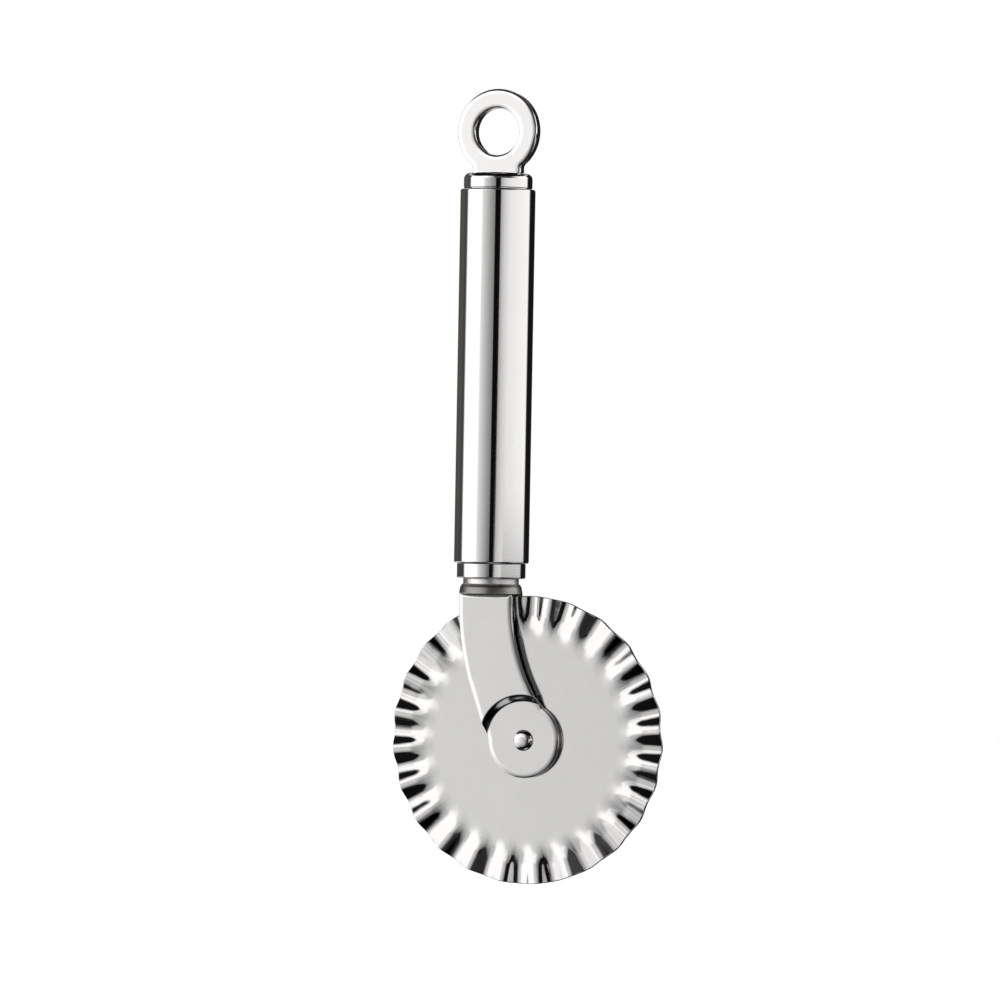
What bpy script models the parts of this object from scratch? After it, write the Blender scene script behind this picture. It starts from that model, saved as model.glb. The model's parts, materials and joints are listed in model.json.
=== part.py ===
"""Pastry cutter: a fluted wheel on a round stainless handle with a flat hanging eye.

Lengths are in metres. The origin is the centre of the hanging eye. +Z runs up the
handle, away from the wheel. +Y runs along the axle, from the front to the rear.
"""

import math

import bmesh
import bpy
from mathutils import Vector
from mathutils.geometry import interpolate_bezier

MM = 0.001

# Hanging eye, a flat ring on a short foot
EYE_RADIUS = 10.4 * MM
EYE_HOLE_RADIUS = 5.75 * MM
EYE_THICKNESS = 3.1 * MM
EYE_EDGE_ROUND = 0.8 * MM
FOOT_FILLET = 1.6 * MM
FOOT_WAIST = 6.3 * MM
FOOT_BOTTOM_Z = -9.85 * MM
TANG_HALF_WIDTH = 3.0 * MM
TANG_BOTTOM_Z = -16.4 * MM

# Handle tube and its two end caps
TUBE_RADIUS = 9.15 * MM
TUBE_BORE_RADIUS = 8.25 * MM
TUBE_TOP_Z = -14.1 * MM
TUBE_BOTTOM_Z = -105.25 * MM
TUBE_CHAMFER = 0.75 * MM
CAP_RADIUS = 8.38 * MM
SPIGOT_RADIUS = 8.12 * MM
TOP_CAP_TOP_Z = -10.15 * MM
TOP_CAP_SHOULDER_Z = -13.8 * MM
TOP_SPIGOT_END_Z = -20.5 * MM
TOP_CAP_ROUND = 1.4 * MM
BOTTOM_CAP_SHOULDER_Z = -105.55 * MM
BOTTOM_CAP_END_Z = -108.95 * MM
BOTTOM_SPIGOT_END_Z = -98.0 * MM
BOTTOM_CAP_ROUND = 0.45 * MM

# Ferrule between the bottom cap and the arm
FERRULE_STEM_RADIUS = 3.0 * MM
FERRULE_STEM_TOP_Z = -100.5 * MM
FERRULE_TOP_Z = -109.25 * MM
NECK_RADIUS = 6.8 * MM
NECK_BOTTOM_Z = -110.3 * MM
SHOULDER_RADIUS = 7.75 * MM
SHOULDER_ROUND = 1.05 * MM
FERRULE_BOTTOM_Z = -113.7 * MM
FERRULE_STEP_Z = -112.6 * MM
FERRULE_STEP_Y = 2.3 * MM

# Wheel arm, a pressed plate that steps back to a round boss
ARM_FRONT_Y = -3.8 * MM
ARM_REAR_Y = -2.1 * MM
ARM_HALF_WIDTH = 6.85 * MM
ARM_TOP_Z = -112.95 * MM
ARM_STRAIGHT_END_Z = -115.0 * MM
ARM_RIGHT_BEND_RADIUS = 44.0 * MM
ARM_TANG_HALF_WIDTH = 4.2 * MM
ARM_TANG_TOP_Z = -110.4 * MM
ARM_TANG_Y = (-3.6 * MM, -2.3 * MM)
ARM_EDGE_ROUND = 0.3 * MM
BOSS_RADIUS = 9.15 * MM
BOSS_FRONT_Y = -2.4 * MM
BOSS_REAR_Y = -0.9 * MM
BOSS_HOLE_RADIUS = 2.15 * MM
STEP_INNER_RADIUS = 9.35 * MM
STEP_OUTER_RADIUS = 11.3 * MM

# Axle line, rivet, washers and hub bush, as stations along Y
AXLE_X = 10.1 * MM
AXLE_Z = -148.05 * MM
RIVET_RADIUS = 2.0 * MM
RIVET_HEAD_RADIUS = 2.6 * MM
RIVET_HEAD_HEIGHT = 1.35 * MM
RIVET_FRONT_SEAT_Y = -2.5 * MM
RIVET_REAR_SEAT_Y = 1.9 * MM
RIVET_REAR_RADIUS = 3.5 * MM
RIVET_REAR_HEIGHT = 1.1 * MM
WASHER_HOLE_RADIUS = 2.2 * MM
FRONT_WASHER_RADIUS = 4.5 * MM
FRONT_WASHER_Y = (-0.8 * MM, -0.5 * MM)
REAR_WASHER_RADIUS = 4.3 * MM
REAR_WASHER_Y = (1.4 * MM, 1.8 * MM)
BUSH_BORE_RADIUS = 2.05 * MM
BUSH_SLEEVE_RADIUS = 2.9 * MM
BUSH_FLANGE_RADIUS = 4.9 * MM
BUSH_Y = (-0.4 * MM, 0.5 * MM, 1.3 * MM)

# Cutting wheel, whose rim is pressed into flutes that turn to the front and the rear
WHEEL_SHEET = 0.8 * MM
WHEEL_RINGS = (3.0, 24.4, 26.4, 28.0, 29.3, 30.6, 32.6, 35.1)
FLUTES = 24
FLUTE_STATIONS = (-0.44, -0.32, -0.18, -0.06, 0.06, 0.18, 0.32, 0.44)
FLUTE_DEPTH = 0.92 * MM
FLUTE_RADII = (24.4 * MM, 32.6 * MM)
CREST_ANGLE = math.radians(174.5)

ROUND_STEPS = 48
SMOOTH_ANGLE = math.radians(35)


def clear_scene():
    for thing in list(bpy.data.objects):
        bpy.data.objects.remove(thing, do_unlink=True)


def steel(name, tone, roughness):
    """A stainless steel material of one grey tone."""
    material = bpy.data.materials.new(name)
    material.use_nodes = True
    shader = material.node_tree.nodes["Principled BSDF"]
    shader.inputs["Base Color"].default_value = (tone, tone, tone * 0.985, 1.0)
    shader.inputs["Metallic"].default_value = 1.0
    shader.inputs["Roughness"].default_value = roughness
    return material


def add_object(name, bm, material, parent=None):
    """Turns a bmesh into a smooth shaded object with one material."""
    bmesh.ops.recalc_face_normals(bm, faces=bm.faces)
    mesh = bpy.data.meshes.new(name)
    bm.to_mesh(mesh)
    bm.free()
    mesh.shade_smooth()
    mesh.set_sharp_from_angle(angle=SMOOTH_ANGLE)
    thing = bpy.data.objects.new(name, mesh)
    bpy.context.scene.collection.objects.link(thing)
    if material:
        mesh.materials.append(material)
    thing.parent = parent
    return thing


def turned(profile, steps=ROUND_STEPS):
    """Spins a closed (radius, z) profile about Z. Points on the axis become poles."""
    bm = bmesh.new()
    corners = [bm.verts.new((radius, 0, z)) for radius, z in profile]
    pairs = list(zip(corners, corners[1:] + corners[:1]))
    on_axis = [profile[i][0] == 0 for i in range(len(profile))]
    edges = []
    for i, pair in enumerate(pairs):
        if not (on_axis[i] and on_axis[(i + 1) % len(profile)]):
            edges.append(bm.edges.new(pair))
    bmesh.ops.spin(
        bm, geom=corners + edges, cent=(0, 0, 0), axis=(0, 0, 1),
        angle=math.tau, steps=steps, use_duplicate=False,
    )
    bmesh.ops.remove_doubles(bm, verts=bm.verts, dist=1e-6)
    return bm


def arc(centre, radius, start, end, steps):
    """Points along a circular arc. Angles are in degrees."""
    points = []
    for i in range(steps + 1):
        angle = math.radians(start + (end - start) * i / steps)
        x = centre[0] + radius * math.cos(angle)
        y = centre[1] + radius * math.sin(angle)
        points.append((x, y))
    return points


def smooth(value, low, high):
    """0 up to low, 1 from high on, and an even S curve between them."""
    share = min(1.0, max(0.0, (value - low) / (high - low)))
    return share * share * (3 - 2 * share)


def add_band(bm, lower, upper, closed):
    """Quads between two rows of vertices."""
    count = len(lower)
    for i in range(count if closed else count - 1):
        j = (i + 1) % count
        bm.faces.new((lower[i], lower[j], upper[j], upper[i]))


def block(name, low, high):
    """A hidden box cutter between two corners."""
    bm = bmesh.new()
    bmesh.ops.create_cube(bm, size=1.0)
    for vert in bm.verts:
        for k in range(3):
            vert.co[k] = low[k] if vert.co[k] < 0 else high[k]
    cutter = add_object(name, bm, None)
    cutter.hide_render = True
    cutter.display_type = "WIRE"
    return cutter


def cut(thing, cutter, operation="DIFFERENCE"):
    boolean = thing.modifiers.new(cutter.name, "BOOLEAN")
    boolean.operation = operation
    boolean.solver = "EXACT"
    boolean.object = cutter


def round_edges(thing, width, segments=2):
    bevel = thing.modifiers.new("edge_round", "BEVEL")
    bevel.limit_method = "ANGLE"
    bevel.angle_limit = math.radians(50)
    bevel.width = width
    bevel.segments = segments


def plate(loops, rear_y, front_y):
    """A flat plate from (x, z) loops. The first loop is its outline, others are holes."""
    bm = bmesh.new()
    edges = []
    for loop in loops:
        corners = [bm.verts.new((x, rear_y, z)) for x, z in loop]
        for pair in zip(corners, corners[1:] + corners[:1]):
            edges.append(bm.edges.new(pair))
    bmesh.ops.triangle_fill(bm, use_beauty=True, use_dissolve=False, edges=edges)
    grown = bmesh.ops.extrude_face_region(bm, geom=list(bm.faces), use_keep_orig=True)
    moved = [item for item in grown["geom"] if isinstance(item, bmesh.types.BMVert)]
    bmesh.ops.translate(bm, verts=moved, vec=(0, front_y - rear_y, 0))
    return bm


# ---- the hanging eye ----


def eye_outline():
    """The ring runs down into a fillet on each side, then the foot and the tang."""
    fillet_x = FOOT_WAIST + FOOT_FILLET
    fillet_z = -math.sqrt((EYE_RADIUS + FOOT_FILLET) ** 2 - fillet_x ** 2)
    lean = math.degrees(math.atan2(fillet_z, fillet_x))
    drop = math.degrees(math.asin((FOOT_BOTTOM_Z - fillet_z) / FOOT_FILLET))
    points = arc((0, 0), EYE_RADIUS, lean, 180 - lean, 56)
    left = arc((-fillet_x, fillet_z), FOOT_FILLET, -lean, drop, 6)
    right = [(-x, z) for x, z in reversed(left)]
    tang = [
        (-TANG_HALF_WIDTH, FOOT_BOTTOM_Z), (-TANG_HALF_WIDTH, TANG_BOTTOM_Z),
        (TANG_HALF_WIDTH, TANG_BOTTOM_Z), (TANG_HALF_WIDTH, FOOT_BOTTOM_Z),
    ]
    return points + left[1:] + tang + right[:-1]


def make_hanging_eye():
    hole = arc((0, 0), EYE_HOLE_RADIUS, 0, 360, ROUND_STEPS)[:-1]
    bm = plate([eye_outline(), hole], EYE_THICKNESS / 2, -EYE_THICKNESS / 2)
    eye = add_object("hanging_eye", bm, steel("hanging_eye", 0.86, 0.16))
    round_edges(eye, EYE_EDGE_ROUND)


# ---- the handle ----


def make_top_cap():
    """A turned plug with a rounded top edge, and a pocket for the eye's tang."""
    crown = arc(
        (CAP_RADIUS - TOP_CAP_ROUND, TOP_CAP_TOP_Z - TOP_CAP_ROUND), TOP_CAP_ROUND, 90, 0, 4
    )
    profile = [(0, TOP_SPIGOT_END_Z), (0, TOP_CAP_TOP_Z)] + crown + [
        (CAP_RADIUS, TOP_CAP_SHOULDER_Z), (SPIGOT_RADIUS, TOP_CAP_SHOULDER_Z),
        (SPIGOT_RADIUS, TOP_SPIGOT_END_Z),
    ]
    cap = add_object("top_cap", turned(profile), steel("top_cap", 0.80, 0.14))
    gap = 0.3 * MM
    pocket = block(
        "tang_pocket",
        (-TANG_HALF_WIDTH - gap, -EYE_THICKNESS / 2 - gap, TANG_BOTTOM_Z - gap),
        (TANG_HALF_WIDTH + gap, EYE_THICKNESS / 2 + gap, TOP_CAP_TOP_Z + 2 * MM),
    )
    cut(cap, pocket)


def make_handle_tube():
    rim = TUBE_RADIUS - TUBE_CHAMFER
    profile = [
        (TUBE_BORE_RADIUS, TUBE_BOTTOM_Z), (TUBE_BORE_RADIUS, TUBE_TOP_Z),
        (rim, TUBE_TOP_Z), (TUBE_RADIUS - 0.15 * MM, TUBE_TOP_Z - 0.65 * TUBE_CHAMFER),
        (TUBE_RADIUS, TUBE_TOP_Z - 1.2 * TUBE_CHAMFER),
        (TUBE_RADIUS, TUBE_BOTTOM_Z + 1.2 * TUBE_CHAMFER),
        (TUBE_RADIUS - 0.15 * MM, TUBE_BOTTOM_Z + 0.65 * TUBE_CHAMFER),
        (rim, TUBE_BOTTOM_Z),
    ]
    add_object("handle_tube", turned(profile, 64), steel("handle_tube", 0.80, 0.12))


def make_bottom_cap():
    """A turned plug with a bore that takes the ferrule's stem."""
    bore = FERRULE_STEM_RADIUS + 0.1 * MM
    centre = (CAP_RADIUS - BOTTOM_CAP_ROUND, BOTTOM_CAP_END_Z + BOTTOM_CAP_ROUND)
    profile = [
        (bore, BOTTOM_CAP_END_Z), (bore, BOTTOM_SPIGOT_END_Z),
        (SPIGOT_RADIUS, BOTTOM_SPIGOT_END_Z), (SPIGOT_RADIUS, BOTTOM_CAP_SHOULDER_Z),
        (CAP_RADIUS, BOTTOM_CAP_SHOULDER_Z),
    ] + arc(centre, BOTTOM_CAP_ROUND, 0, -90, 3)
    add_object("bottom_cap", turned(profile), steel("bottom_cap", 0.80, 0.14))


def make_ferrule():
    """A stem, a neck and a rounded shoulder. Its front is cut away above the wheel."""
    centre = (SHOULDER_RADIUS - SHOULDER_ROUND, NECK_BOTTOM_Z - SHOULDER_ROUND)
    crown = arc(centre, SHOULDER_ROUND, 70, 0, 4)
    profile = [
        (0, FERRULE_STEM_TOP_Z), (FERRULE_STEM_RADIUS, FERRULE_STEM_TOP_Z),
        (FERRULE_STEM_RADIUS, FERRULE_TOP_Z), (NECK_RADIUS, FERRULE_TOP_Z),
        (NECK_RADIUS, NECK_BOTTOM_Z),
    ] + crown + [
        (SHOULDER_RADIUS, FERRULE_BOTTOM_Z + 0.3 * MM),
        (SHOULDER_RADIUS - 0.3 * MM, FERRULE_BOTTOM_Z), (0, FERRULE_BOTTOM_Z),
    ]
    ferrule = add_object("ferrule", turned(profile), steel("ferrule", 0.80, 0.16))
    far = 2 * SHOULDER_RADIUS
    cut(ferrule, block(
        "wheel_clearance", (-far, -far, FERRULE_BOTTOM_Z - MM),
        (far, FERRULE_STEP_Y, FERRULE_STEP_Z),
    ))
    gap = 0.3 * MM
    cut(ferrule, block(
        "arm_slot",
        (-ARM_TANG_HALF_WIDTH - gap, ARM_TANG_Y[0] - gap, FERRULE_STEP_Z - 2 * MM),
        (ARM_TANG_HALF_WIDTH + gap, ARM_TANG_Y[1] + gap, ARM_TANG_TOP_Z + gap),
    ))


# ---- the wheel arm ----


def arm_left_edge():
    """From the top, straight down and then in a long sweep on to the boss's left side."""
    boss_left = Vector((AXLE_X - BOSS_RADIUS, AXLE_Z))
    start = Vector((-ARM_HALF_WIDTH, ARM_STRAIGHT_END_Z))
    handle_a = start - Vector((0, 16.0 * MM))
    handle_b = boss_left + Vector((-1.5 * MM, 5.5 * MM))
    sweep = interpolate_bezier(start, handle_a, handle_b, boss_left, 40)
    return [Vector((-ARM_HALF_WIDTH, ARM_TOP_Z))] + list(sweep)


def arm_right_edge():
    """From the top, straight down and then round one large arc that flares outwards."""
    radius = ARM_RIGHT_BEND_RADIUS
    centre = (ARM_HALF_WIDTH + radius, ARM_STRAIGHT_END_Z)
    sweep = [Vector(p) for p in arc(centre, radius, 180, 220, 40)]
    return [Vector((ARM_HALF_WIDTH, ARM_TOP_Z))] + sweep


def point_at(edge, measure, value):
    """The first point along an edge where measure(point) falls to value."""
    for a, b in zip(edge, edge[1:]):
        high, low = measure(a), measure(b)
        if high >= value >= low and high > low:
            return a.lerp(b, (high - value) / (high - low))
    return edge[-1]


def from_axle(point):
    return (point - Vector((AXLE_X, AXLE_Z))).length


def height(point):
    return point.y


def station_points(left, right, bow, steps):
    """Points from left to right. With bow, they follow a circle about the axle."""
    points = []
    axle = Vector((AXLE_X, AXLE_Z))
    a = (left - axle).to_tuple()
    b = (right - axle).to_tuple()
    start = math.atan2(a[1], a[0]) % math.tau
    end = math.atan2(b[1], b[0])
    for i in range(steps + 1):
        share = i / steps
        flat = left.lerp(right, share)
        angle = start + (end - start) * share
        radius = (left - axle).length * (1 - share) + (right - axle).length * share
        round_point = axle + radius * Vector((math.cos(angle), math.sin(angle)))
        points.append(flat.lerp(round_point, bow))
    return points


def arm_depths(point):
    """Front and rear Y of the plate, which steps back near the boss."""
    share = smooth(from_axle(point), STEP_INNER_RADIUS, STEP_OUTER_RADIUS)
    front = BOSS_FRONT_Y + (ARM_FRONT_Y - BOSS_FRONT_Y) * share
    rear = BOSS_REAR_Y + (ARM_REAR_Y - BOSS_REAR_Y) * share
    return front, rear


def arm_row(bm, points, side):
    """A row of vertices on the arm's front (side 0) or its rear (side 1)."""
    return [bm.verts.new((point.x, arm_depths(point)[side], point.y)) for point in points]


def make_wheel_arm():
    """One plate: a hole ring and a rim ring for the boss, then rows up to the top."""
    left = arm_left_edge()
    right = arm_right_edge()
    axle = Vector((AXLE_X, AXLE_Z))
    first = (point_at(right, from_axle, BOSS_RADIUS) - axle).to_tuple()
    first_angle = math.degrees(math.atan2(first[1], first[0]))
    across = 18
    rows = []
    for share in (0.0, 0.05, 0.25, 0.42, 0.58, 0.75, 1.0):
        radius = BOSS_RADIUS + 0.05 * MM + share * (STEP_OUTER_RADIUS + 0.1 * MM - BOSS_RADIUS)
        ends = [point_at(edge, from_axle, radius) for edge in (left, right)]
        rows.append(station_points(ends[0], ends[1], 1.0, across))
    for level in (-133.5, -129.5, -125.5, -121.5, -118.0, ARM_STRAIGHT_END_Z / MM, ARM_TOP_Z / MM):
        ends = [point_at(edge, height, level * MM) for edge in (left, right)]
        rows.append(station_points(ends[0], ends[1], 0.0, across))
    bottom = arc(axle, BOSS_RADIUS, first_angle, -180, 30)[1:-1]
    rim = rows[0] + [Vector(p) for p in bottom]
    step = math.tau / len(rim)
    hole = []
    for point in rim:
        offset = point - axle
        hole.append(axle + offset * (BOSS_HOLE_RADIUS / offset.length))
    bm = bmesh.new()
    sheets = []
    for side in (0, 1):
        rim_verts = arm_row(bm, rim, side)
        hole_verts = arm_row(bm, hole, side)
        row_verts = [rim_verts[:across + 1]] + [arm_row(bm, row, side) for row in rows[1:]]
        sheets.append((rim_verts, hole_verts, row_verts))
    for rim_verts, hole_verts, row_verts in sheets:
        add_band(bm, rim_verts, hole_verts, True)
        for lower, upper in zip(row_verts, row_verts[1:]):
            add_band(bm, lower, upper, False)
    front, rear = sheets
    add_band(bm, front[1], rear[1], True)
    outline = []
    for rim_verts, hole_verts, row_verts in sheets:
        up_right = [row[-1] for row in row_verts]
        down_left = [row[0] for row in reversed(row_verts)]
        top = list(reversed(row_verts[-1]))[1:-1]
        outline.append(up_right + top + down_left + list(reversed(rim_verts[across + 1:])))
    add_band(bm, outline[0], outline[1], True)
    arm = add_object("wheel_arm", bm, steel("wheel_arm", 0.78, 0.22))
    tang = block(
        "arm_tang", (-ARM_TANG_HALF_WIDTH, ARM_TANG_Y[0], ARM_TOP_Z - 2 * MM),
        (ARM_TANG_HALF_WIDTH, ARM_TANG_Y[1], ARM_TANG_TOP_Z),
    )
    round_edges(arm, ARM_EDGE_ROUND)
    cut(arm, tang, "UNION")


# ---- the wheel and what is on its axle ----


def flute_offset(radius, phase):
    """How far the sheet is pressed along the axle, negative towards the front.

    A phase of 0 is the middle of a crest, and 0.5 either way is the middle of a valley.
    """
    depth = FLUTE_DEPTH * smooth(radius, *FLUTE_RADII)
    return depth * (2 * smooth(abs(phase), 0, 0.5) - 1)


def make_cutting_wheel(axle):
    """A thin disc whose rim is pressed into flutes. Angles run clockwise from the top."""
    bm = bmesh.new()
    sheets = []
    for side in (-WHEEL_SHEET / 2, WHEEL_SHEET / 2):
        rings = []
        for radius in [r * MM for r in WHEEL_RINGS]:
            ring = []
            for flute in range(FLUTES):
                for phase in FLUTE_STATIONS:
                    angle = CREST_ANGLE + math.tau * (flute + phase) / FLUTES
                    x = radius * math.sin(angle)
                    y = -radius * math.cos(angle)
                    ring.append(bm.verts.new((x, y, side + flute_offset(radius, phase))))
            rings.append(ring)
        for inner, outer in zip(rings, rings[1:]):
            add_band(bm, inner, outer, True)
        sheets.append(rings)
    add_band(bm, sheets[0][0], sheets[1][0], True)
    add_band(bm, sheets[0][-1], sheets[1][-1], True)
    add_object("cutting_wheel", bm, steel("cutting_wheel", 0.78, 0.20), axle)


def ring_profile(hole, radius, low, high, edge):
    """A flat ring with a small chamfer on its outer edges."""
    return [
        (hole, low), (hole, high), (radius - edge, high), (radius, high - edge),
        (radius, low + edge), (radius - edge, low),
    ]


def make_axle_parts(axle):
    front = ring_profile(WASHER_HOLE_RADIUS, FRONT_WASHER_RADIUS, *FRONT_WASHER_Y, 0.05 * MM)
    add_object("front_washer", turned(front), steel("front_washer", 0.70, 0.30), axle)
    rear = ring_profile(WASHER_HOLE_RADIUS, REAR_WASHER_RADIUS, *REAR_WASHER_Y, 0.08 * MM)
    add_object("rear_washer", turned(rear), steel("rear_washer", 0.70, 0.25), axle)
    start, seat, end = BUSH_Y
    edge = 0.12 * MM
    bush = [
        (BUSH_BORE_RADIUS, start), (BUSH_BORE_RADIUS, end),
        (BUSH_FLANGE_RADIUS - edge, end), (BUSH_FLANGE_RADIUS, end - edge),
        (BUSH_FLANGE_RADIUS, seat), (BUSH_SLEEVE_RADIUS, seat), (BUSH_SLEEVE_RADIUS, start),
    ]
    add_object("hub_bush", turned(bush), steel("hub_bush", 0.72, 0.28), axle)


def make_axle_rivet(axle):
    """A shank with a low dome at the front and a wider, flatter head at the rear."""
    profile = [(0, RIVET_FRONT_SEAT_Y - RIVET_HEAD_HEIGHT)]
    for angle in (22, 44, 64, 80):
        reach = math.sin(math.radians(angle))
        rise = math.cos(math.radians(angle))
        profile.append((RIVET_HEAD_RADIUS * reach, RIVET_FRONT_SEAT_Y - RIVET_HEAD_HEIGHT * rise))
    profile += [
        (RIVET_HEAD_RADIUS, RIVET_FRONT_SEAT_Y), (RIVET_RADIUS, RIVET_FRONT_SEAT_Y),
        (RIVET_RADIUS, RIVET_REAR_SEAT_Y), (RIVET_REAR_RADIUS, RIVET_REAR_SEAT_Y),
    ]
    for angle in (70, 48, 24):
        reach = math.sin(math.radians(angle))
        rise = math.cos(math.radians(angle))
        profile.append((RIVET_REAR_RADIUS * reach, RIVET_REAR_SEAT_Y + RIVET_REAR_HEIGHT * rise))
    profile.append((0, RIVET_REAR_SEAT_Y + RIVET_REAR_HEIGHT))
    add_object("axle_rivet", turned(profile), steel("axle_rivet", 0.78, 0.18), axle)


def main():
    clear_scene()
    make_hanging_eye()
    make_top_cap()
    make_handle_tube()
    make_bottom_cap()
    make_ferrule()
    make_wheel_arm()
    axle = bpy.data.objects.new("axle_line", None)
    axle.location = (AXLE_X, 0, AXLE_Z)
    axle.rotation_euler = (-math.pi / 2, 0, 0)
    bpy.context.scene.collection.objects.link(axle)
    make_cutting_wheel(axle)
    make_axle_parts(axle)
    make_axle_rivet(axle)


main()
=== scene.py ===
"""The looks of the pastry cutter: finely modelled steel pieces, a white studio and the camera.

Lengths are in metres, in the CAD frame. +Z runs up the handle and +Y along the axle.
"""

import json
import math

import bmesh
import bpy
import numpy as np
from mathutils import Matrix, Vector, noise
from mathutils.geometry import interpolate_bezier


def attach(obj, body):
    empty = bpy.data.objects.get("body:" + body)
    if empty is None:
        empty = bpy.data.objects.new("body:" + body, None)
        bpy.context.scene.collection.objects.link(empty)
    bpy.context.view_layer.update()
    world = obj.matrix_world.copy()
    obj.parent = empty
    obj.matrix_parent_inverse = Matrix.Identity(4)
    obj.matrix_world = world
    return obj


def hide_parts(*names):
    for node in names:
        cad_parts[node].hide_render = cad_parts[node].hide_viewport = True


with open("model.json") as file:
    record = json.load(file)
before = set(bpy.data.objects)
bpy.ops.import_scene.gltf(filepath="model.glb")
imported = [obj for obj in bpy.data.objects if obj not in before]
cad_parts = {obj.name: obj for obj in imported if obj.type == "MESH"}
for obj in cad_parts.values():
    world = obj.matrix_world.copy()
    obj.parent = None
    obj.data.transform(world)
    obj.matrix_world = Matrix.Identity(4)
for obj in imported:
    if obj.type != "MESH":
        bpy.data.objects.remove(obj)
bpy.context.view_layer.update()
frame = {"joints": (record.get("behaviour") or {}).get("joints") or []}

MM = 0.001
AXLE = Vector(frame["joints"][0]["pos_m"])

# Hanging eye
EYE_RADIUS = 10.4 * MM
EYE_HOLE = 5.75 * MM
EYE_HALF_THICKNESS = 1.55 * MM
EYE_STEPS = 200
EYE_STEPS_ACROSS = 8
FOOT_FILLET = 1.6 * MM
FOOT_WAIST = 6.3 * MM
FOOT_BOTTOM_Z = -10.1 * MM
FOOT_CORNER_TURN = 0.012
FOOT_CORNER_STEPS = 16

# Handle tube and its two caps
TUBE_RADIUS = 9.15 * MM
TUBE_BORE_RADIUS = 8.25 * MM
TUBE_TOP_Z = -14.1 * MM
TUBE_BOTTOM_Z = -105.25 * MM
TUBE_ROUND = 0.45 * MM
CAP_RADIUS = 8.38 * MM
SPIGOT_RADIUS = 8.12 * MM
SPIGOT_ROUND = 0.2 * MM
SPIGOT_FILLET = 0.05 * MM
CAP_SKIRT_ROUND = 0.1 * MM
TOP_CAP_TOP_Z = -10.15 * MM
TOP_CAP_ROUND = 1.5 * MM
TOP_CAP_SKIRT_Z = -13.8 * MM
TOP_SPIGOT_END_Z = -20.5 * MM
BOTTOM_CAP_END_Z = -108.95 * MM
BOTTOM_CAP_ROUND = 0.4 * MM
BOTTOM_CAP_SKIRT_Z = -105.4 * MM
BOTTOM_SPIGOT_END_Z = -98.0 * MM
STEM_HOLE = 3.1 * MM

# Ferrule
STEM_RADIUS = 3.0 * MM
STEM_TOP_Z = -100.5 * MM
NECK_RADIUS = 6.8 * MM
NECK_TOP_Z = -109.0 * MM
NECK_BOTTOM_Z = -110.25 * MM
SHOULDER_RADIUS = 7.75 * MM
SHOULDER_BOTTOM_Z = -113.7 * MM
# Painted shade: below this height the ferrule's colour is darkened by this grey, standing in for
# the shade on its shoulder
SHOULDER_PAINTED_SHADE_Z = -110.45 * MM
SHOULDER_PAINTED_SHADE = (0.40, 0.39, 0.37)
LIP_TOP_Z = -112.6 * MM
LIP_FRONT_Y = 2.3 * MM

# Edges of the flat pieces: a soft fall over a short reach, then a small rounding
EDGE_REACH = 1.15 * MM
EDGE_ROUND = 0.2 * MM
EYE_EDGE_SLOPE = 0.54
ARM_EDGE_SLOPE = 0.42
ARM_EDGE_ROUND = 0.08 * MM

# Wheel arm and its boss
ARM_FRONT_Y = -3.8 * MM
ARM_REAR_Y = -2.1 * MM
ARM_HALF_WIDTH = 6.85 * MM
ARM_TOP_Z = -112.72 * MM
ARM_STRAIGHT_END_Z = -115.0 * MM
ARM_RIGHT_BEND = 44.0 * MM
ARM_LEFT_PULL_DOWN = Vector((0, -16.0 * MM))
ARM_LEFT_PULL_UP = Vector((-1.5 * MM, 5.5 * MM))
ARM_EDGE_STEPS = 80
ARM_STEPS_ACROSS = 26
BOSS_RADIUS = 9.15 * MM
BOSS_FRONT_Y = -2.4 * MM
BOSS_REAR_Y = -0.9 * MM
BOSS_HOLE = 2.15 * MM
STEP_INNER = 9.3 * MM
STEP_OUTER = 11.3 * MM

# Rows of points on the arm: bowed about the axle at first, then levelling out up to the top
RIM_LIFT = 0.02 * MM
RIM_STEPS_BELOW = 72
BOWED_ROWS = 25
BOWED_REACH = 2.7 * MM
BOW_FADE_ROWS = 8
BOW_FADE_POWER = 1.5
LEVEL_ROWS = 23
LEVEL_ROWS_Z = -134.8 * MM

# Cutting wheel
WHEEL_RADIUS = 35.05 * MM
WHEEL_HUB = 3.0 * MM
WHEEL_HALF_SHEET = 0.4 * MM
FLAT_RINGS = 10
FLAT_RING_STEP = 2.0 * MM
FLUTED_RINGS = 30
FLUTED_RINGS_START = 22.4 * MM
RIM_ROUND = 0.22 * MM
FLUTES = 24
FLUTE_STEPS = 36
CREST_ANGLE = math.radians(174.5)

# The steepest slope of the flutes' walls, in degrees. A stage adds to it between two radii.
FLUTE_START = 24.0 * MM
FLUTE_ONSET = 6.4 * MM
FIRST_SLOPE = 16.5
FIRST_BEND = 0.13
SLOPE_STAGES = ((12.0, 26.0 * MM, 30.6 * MM), (3.5, 29.5 * MM, 35.5 * MM))

# From a ridge, at 0, to the middle of a wall, at 0.25, the slope grows in these shares
WALL_STEPS = 90
WALL_STAGES = ((0.64, 0.01, 0.12), (0.36, 0.13, 0.235))

# Unevenness of the pressed flutes: height, noise scales and onset of the waves and the streaks
WAVE_HEIGHT = 0.014 * MM
WAVE_SCALES = (420.0, 1300.0)
WAVE_FINE_SHARE = 0.4
WAVE_ONSET = (25.0 * MM, 29.0 * MM)
STREAK_HEIGHT = 0.004 * MM
STREAK_SCALES = (60.0, 150.0)
STREAK_ONSET = (24.0 * MM, 26.0 * MM)

# Axle rivet. A head is its radius, its height and the place of its foot along the axle.
RIVET_RADIUS = 2.0 * MM
FRONT_HEAD = (2.6 * MM, 1.35 * MM, -2.45 * MM)
REAR_HEAD = (3.5 * MM, 1.1 * MM, 1.85 * MM)
DOME_STEPS = 14

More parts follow.
